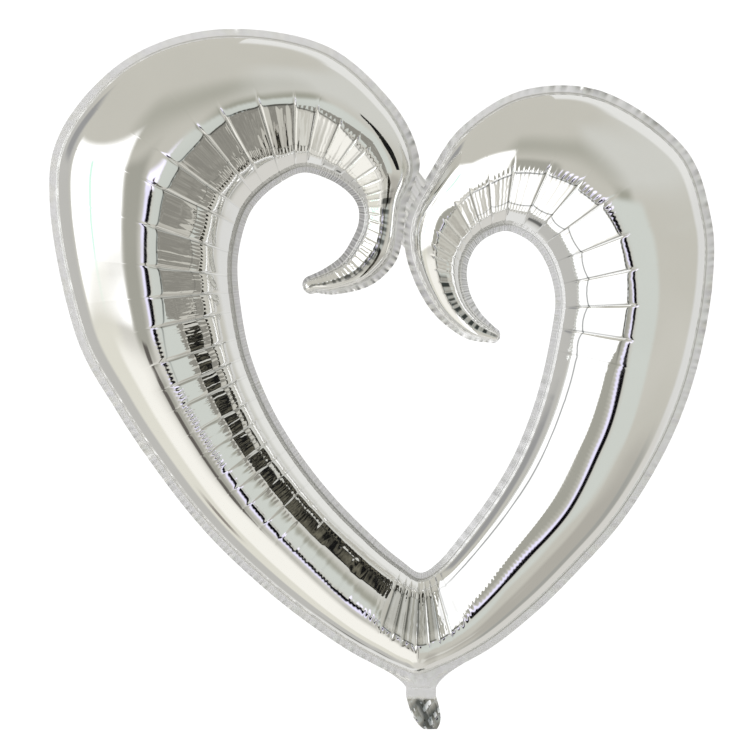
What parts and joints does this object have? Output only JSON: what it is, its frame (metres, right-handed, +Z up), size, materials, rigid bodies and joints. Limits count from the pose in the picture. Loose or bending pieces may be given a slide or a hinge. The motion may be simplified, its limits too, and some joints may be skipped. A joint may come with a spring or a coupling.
{
  "type": "heart-shaped foil balloon",
  "caption": "Open heart made of one inflated foil tube that tapers into two inward hooks, with a flat neck and a loose filling tail at its point.",
  "frame": {"origin": "the tie point: middle of the flat neck where a ribbon goes round it, in the plane of the welded rim", "axes": "+Z up from the neck through the heart, -Y towards the front face, +X towards the smaller lobe"},
  "size_m": [0.798, 0.1862, 0.8396],
  "materials": {
    "foil": "bright metallised film, stretched smooth outside and creased round the hole",
    "valve_film": "thin clear film, slightly hazy",
    "tail_foil": "bright metallised film, limp and crumpled"
  },
  "bodies": {
    "balloon": {"front_foil": "foil", "back_foil": "foil", "valve_film_front": "valve_film", "valve_film_back": "valve_film"},
    "tail": {"tail_front": "tail_foil", "tail_back": "tail_foil"}
  },
  "joints": [
    {"name": "tail_fold", "type": "hinge", "parent": "balloon", "child": "tail", "pos_m": [0, 0, -0.008], "axis": [1, 0, 0], "range_deg": [-120, 120]}
  ]
}
